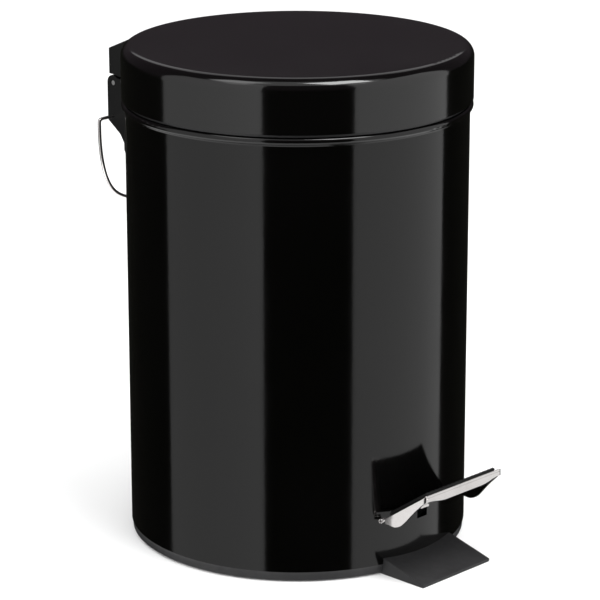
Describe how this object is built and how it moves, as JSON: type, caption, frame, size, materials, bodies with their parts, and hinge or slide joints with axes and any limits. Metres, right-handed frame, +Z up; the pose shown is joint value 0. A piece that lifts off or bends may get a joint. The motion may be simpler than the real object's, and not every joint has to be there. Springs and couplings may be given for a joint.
{
  "type": "pedal bin",
  "caption": "Small round pedal bin: gloss black steel can and hinged lid, chrome pedal with tread pad, plastic base with anti-tip foot, lift-out bucket and wire carrying bail.",
  "frame": {"origin": "on the can's axis at floor level, which is also the middle of the whole outline from pedal to hinge", "axes": "+Z up, -Y to the front with the pedal, +Y to the rear with the lid hinge, +X to the left of a person who stands at the pedal"},
  "size_m": [0.1712, 0.2219, 0.2465],
  "materials": {
    "black_paint": "high gloss black paint on sheet steel",
    "black_plastic": "moulded black polypropylene, fine texture",
    "bucket_plastic": "black polypropylene, smooth satin",
    "pad_plastic": "black moulded tread pad",
    "shoe_plastic": "natural white nylon",
    "chrome": "bright chrome plating",
    "zinc_steel": "bright zinc-plated steel"
  },
  "bodies": {
    "bin_body": {"body_shell": "black_paint", "base": "black_plastic", "body_hinge": "black_plastic", "hinge_screws": "zinc_steel", "hinge_pin": "zinc_steel", "pivot_pin": "zinc_steel", "pivot_clips": "zinc_steel", "rod_guide": "zinc_steel", "inner_bucket": "bucket_plastic"},
    "lid": {"lid_shell": "black_paint", "lid_hinge": "black_plastic", "lid_rivets": "zinc_steel", "lid_horn": "zinc_steel"},
    "pedal": {"pedal_plate": "chrome", "pedal_pad": "pad_plastic", "pedal_lever": "zinc_steel", "pedal_rivets": "zinc_steel"},
    "rod": {"push_rod": "zinc_steel", "rod_clip": "zinc_steel", "rod_shoe": "shoe_plastic"},
    "bail": {"carry_bail": "chrome"}
  },
  "joints": [
    {"name": "lid_open", "type": "hinge", "parent": "bin_body", "child": "lid", "pos_m": [0, 0.1066, 0.2142], "axis": [-1, 0, 0], "range_deg": [0, 75]},
    {"name": "pedal_press", "type": "hinge", "parent": "bin_body", "child": "pedal", "pos_m": [0, -0.066, 0.02], "axis": [1, 0, 0], "range_deg": [0, 16]},
    {"name": "rod_swing", "type": "hinge", "parent": "lid", "child": "rod", "pos_m": [-0.0032, 0.0794, 0.1933], "axis": [-1, 0, 0], "range_deg": [-75, 0]},
    {"name": "bail_swing", "type": "hinge", "parent": "bin_body", "child": "bail", "pos_m": [0, 0.107, 0.1968], "axis": [1, 0, 0], "range_deg": [-26, 125]}
  ],
  "couplings": [
    {"joint": "pedal_press", "follows": "lid_open", "ratio": 0.212},
    {"joint": "rod_swing", "follows": "lid_open", "ratio": -1}
  ]
}
